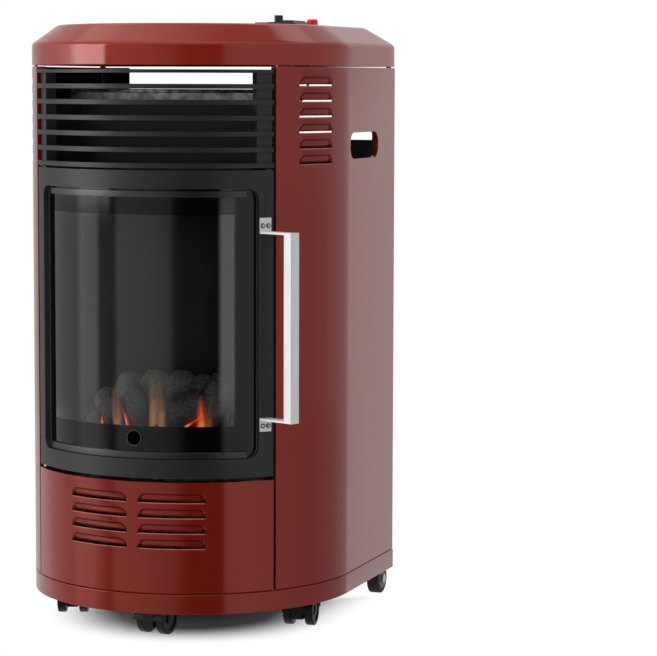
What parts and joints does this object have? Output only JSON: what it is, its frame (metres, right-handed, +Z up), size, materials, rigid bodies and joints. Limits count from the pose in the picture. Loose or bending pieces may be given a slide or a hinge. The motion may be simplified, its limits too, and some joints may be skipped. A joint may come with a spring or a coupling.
{
  "type": "cabinet gas heater",
  "caption": "Portable cabinet gas heater with a curved glazed door, flame-effect burner, warm-air grille, lid-top controls, a rear bay for the gas cylinder and castors.",
  "frame": {"origin": "centre of the bounding box in plan, on the floor under the wheels", "axes": "+X towards the heater's right side seen from the front, +Y from the curved front to the rear cover, +Z up"},
  "size_m": [0.4, 0.432, 0.7455],
  "materials": {
    "red_enamel": "smooth gloss enamel",
    "black_enamel": "satin heat-proof enamel",
    "black_steel": "matt black coat",
    "galvanised": "dull galvanised sheet with a faint spangle",
    "glass": "clear heat-proof glass with a dark printed border",
    "gasket_rope": "woven glass-fibre tape",
    "grey_trim": "satin",
    "brushed_handle": "brushed along its length",
    "bright_steel": "bright plated",
    "ceramic_stone": "rough charcoal-coloured ceramic",
    "brass": "machined",
    "cast_alloy": "die-cast",
    "pipe_metal": "drawn tube",
    "white_ceramic": "glazed",
    "lead_sleeve": "silicone sleeve",
    "black_plastic": "fine grained",
    "red_plastic": "glossy",
    "castor_black": "satin moulded",
    "tyre_rubber": "matt rubber",
    "hub_grey": "satin moulded"
  },
  "bodies": {
    "cabinet": {"base_plinth": "red_enamel", "base_tray": "black_steel", "burner_mixing_tube": "galvanised", "burner_tray": "black_enamel", "ceramic_stones": "ceramic_stone", "control_bezel": "black_plastic", "door_catch_magnet": "black_steel", "firebox_floor": "black_enamel", "firebox_liner": "black_enamel", "front_grille": "black_enamel", "gas_inlet": "brass", "gas_pipe": "pipe_metal", "gas_valve": "cast_alloy", "heat_shield": "galvanised", "hinge_brackets": "black_steel", "hinge_pins": "bright_steel", "igniter_body": "black_plastic", "igniter_lead": "lead_sleeve", "injector_holder": "brass", "lid_brackets": "black_steel", "lower_front_panel": "red_enamel", "pilot_burner": "bright_steel", "pilot_pipe": "pipe_metal", "rear_axles": "bright_steel", "rear_wheel_brackets": "black_steel", "side_panel_left": "red_enamel", "side_panel_right": "red_enamel", "spark_electrode": "white_ceramic", "thermocouple": "pipe_metal", "top_cover": "red_enamel", "valve_bracket": "black_steel"},
    "door": {"door_frame": "black_enamel", "door_glass": "glass", "glass_gasket": "gasket_rope", "glass_bead_top": "grey_trim", "glass_bead_bottom": "grey_trim", "sight_port": "grey_trim", "glass_clips": "black_enamel", "handle_brackets": "brushed_handle", "handle_bar": "brushed_handle", "handle_screws": "bright_steel", "catch_strike": "black_enamel"},
    "valve_stem": {"valve_stem": "bright_steel"},
    "control_knob": {"control_knob": "black_plastic"},
    "igniter_button": {"igniter_button": "red_plastic"},
    "rear_cover": {"rear_cover": "black_enamel"},
    "castor_front": {"castor_front_housing": "castor_black"},
    "castor_front_wheel_a": {"castor_front_wheel_a": "castor_black"},
    "castor_front_wheel_b": {"castor_front_wheel_b": "castor_black"},
    "castor_right": {"castor_right_housing": "castor_black"},
    "castor_right_wheel_a": {"castor_right_wheel_a": "castor_black"},
    "castor_right_wheel_b": {"castor_right_wheel_b": "castor_black"},
    "castor_left": {"castor_left_housing": "castor_black"},
    "castor_left_wheel_a": {"castor_left_wheel_a": "castor_black"},
    "castor_left_wheel_b": {"castor_left_wheel_b": "castor_black"},
    "rear_wheel_left": {"rear_tyre_left": "tyre_rubber", "rear_hub_left": "hub_grey"},
    "rear_wheel_right": {"rear_tyre_right": "tyre_rubber", "rear_hub_right": "hub_grey"}
  },
  "joints": [
    {"name": "door_hinge", "type": "hinge", "parent": "cabinet", "child": "door", "pos_m": [-0.1423, -0.14639, 0.1995], "axis": [0, 0, -1], "range_deg": [0, 95]},
    {"name": "valve_turn", "type": "hinge", "parent": "cabinet", "child": "valve_stem", "pos_m": [0.091, 0.034, 0.732], "axis": [0, 0, 1], "range_deg": [0, 200]},
    {"name": "knob_push", "type": "slide", "parent": "valve_stem", "child": "control_knob", "axis": [0, 0, -1], "range_m": [0, 0.003], "stiffness_N_per_m": 500},
    {"name": "igniter_push", "type": "slide", "parent": "cabinet", "child": "igniter_button", "axis": [0, 0, -1], "range_m": [0, 0.006], "stiffness_N_per_m": 400},
    {"name": "rear_cover_lift", "type": "slide", "parent": "cabinet", "child": "rear_cover", "axis": [0, 0, 1], "range_m": [0, 0.015]},
    {"name": "castor_front_swivel", "type": "hinge", "parent": "cabinet", "child": "castor_front", "pos_m": [0, -0.16, 0.038], "axis": [0, 0, 1], "continuous": true},
    {"name": "castor_front_wheel_a_spin", "type": "hinge", "parent": "castor_front", "child": "castor_front_wheel_a", "pos_m": [0.00195, -0.14614, 0.019], "axis": [0.9903, -0.1392, 0], "continuous": true},
    {"name": "castor_front_wheel_b_spin", "type": "hinge", "parent": "castor_front", "child": "castor_front_wheel_b", "pos_m": [0.00195, -0.14614, 0.019], "axis": [0.9903, -0.1392, 0], "continuous": true},
    {"name": "castor_right_swivel", "type": "hinge", "parent": "cabinet", "child": "castor_right", "pos_m": [0.15, -0.054, 0.038], "axis": [0, 0, 1], "continuous": true},
    {"name": "castor_right_wheel_a_spin", "type": "hinge", "parent": "castor_right", "child": "castor_right_wheel_a", "pos_m": [0.14854, -0.04008, 0.019], "axis": [0.9945, 0.1045, 0], "continuous": true},
    {"name": "castor_right_wheel_b_spin", "type": "hinge", "parent": "castor_right", "child": "castor_right_wheel_b", "pos_m": [0.14854, -0.04008, 0.019], "axis": [0.9945, 0.1045, 0], "continuous": true},
    {"name": "castor_left_swivel", "type": "hinge", "parent": "cabinet", "child": "castor_left", "pos_m": [-0.15, -0.054, 0.038], "axis": [0, 0, 1], "continuous": true},
    {"name": "castor_left_wheel_a_spin", "type": "hinge", "parent": "castor_left", "child": "castor_left_wheel_a", "pos_m": [-0.14544, -0.06724, 0.019], "axis": [-0.9455, -0.3256, 0], "continuous": true},
    {"name": "castor_left_wheel_b_spin", "type": "hinge", "parent": "castor_left", "child": "castor_left_wheel_b", "pos_m": [-0.14544, -0.06724, 0.019], "axis": [-0.9455, -0.3256, 0], "continuous": true},
    {"name": "rear_wheel_left_spin", "type": "hinge", "parent": "cabinet", "child": "rear_wheel_left", "pos_m": [-0.174, 0.18, 0.019], "axis": [1, 0, 0], "continuous": true},
    {"name": "rear_wheel_right_spin", "type": "hinge", "parent": "cabinet", "child": "rear_wheel_right", "pos_m": [0.174, 0.18, 0.019], "axis": [1, 0, 0], "continuous": true}
  ]
}
